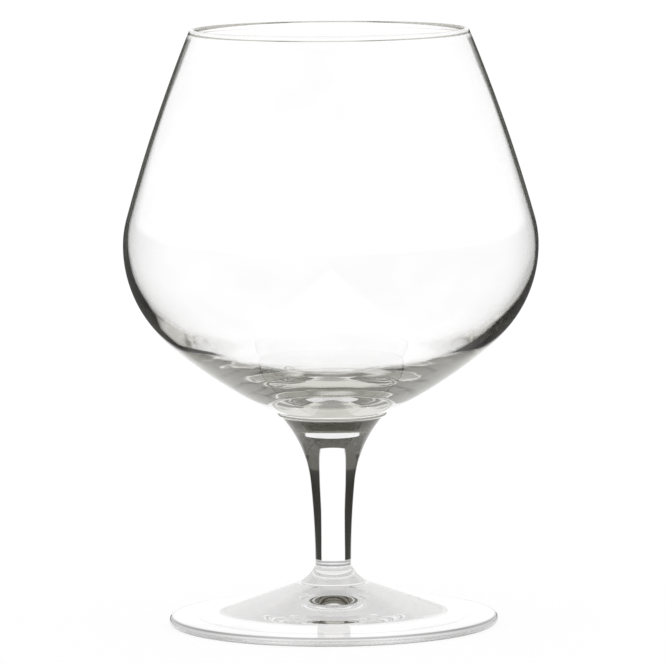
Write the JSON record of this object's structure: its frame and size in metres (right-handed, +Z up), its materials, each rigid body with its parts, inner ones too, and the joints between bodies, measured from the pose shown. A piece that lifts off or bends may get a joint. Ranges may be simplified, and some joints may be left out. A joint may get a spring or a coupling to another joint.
{
  "type": "brandy snifter",
  "caption": "Stemmed drinking glass with a wide, low-bellied bowl that narrows to its mouth, on a short flared solid stem and a round foot.",
  "frame": {"origin": "centre of the foot's resting ring, on the plane that the glass stands on", "axes": "+Z up along the glass's own axis; the glass is round, so +X and +Y are any two level directions at right angles"},
  "size_m": [0.0904, 0.0904, 0.13],
  "materials": {
    "bowl_glass": "clear blown soda-lime glass, fire-polished rim",
    "stem_glass": "clear solid glass, drawn and fire-polished",
    "foot_glass": "clear pressed glass, fire-polished edge"
  },
  "bodies": {
    "root": {"bowl": "bowl_glass", "stem": "stem_glass", "foot": "foot_glass"}
  },
  "joints": []
}
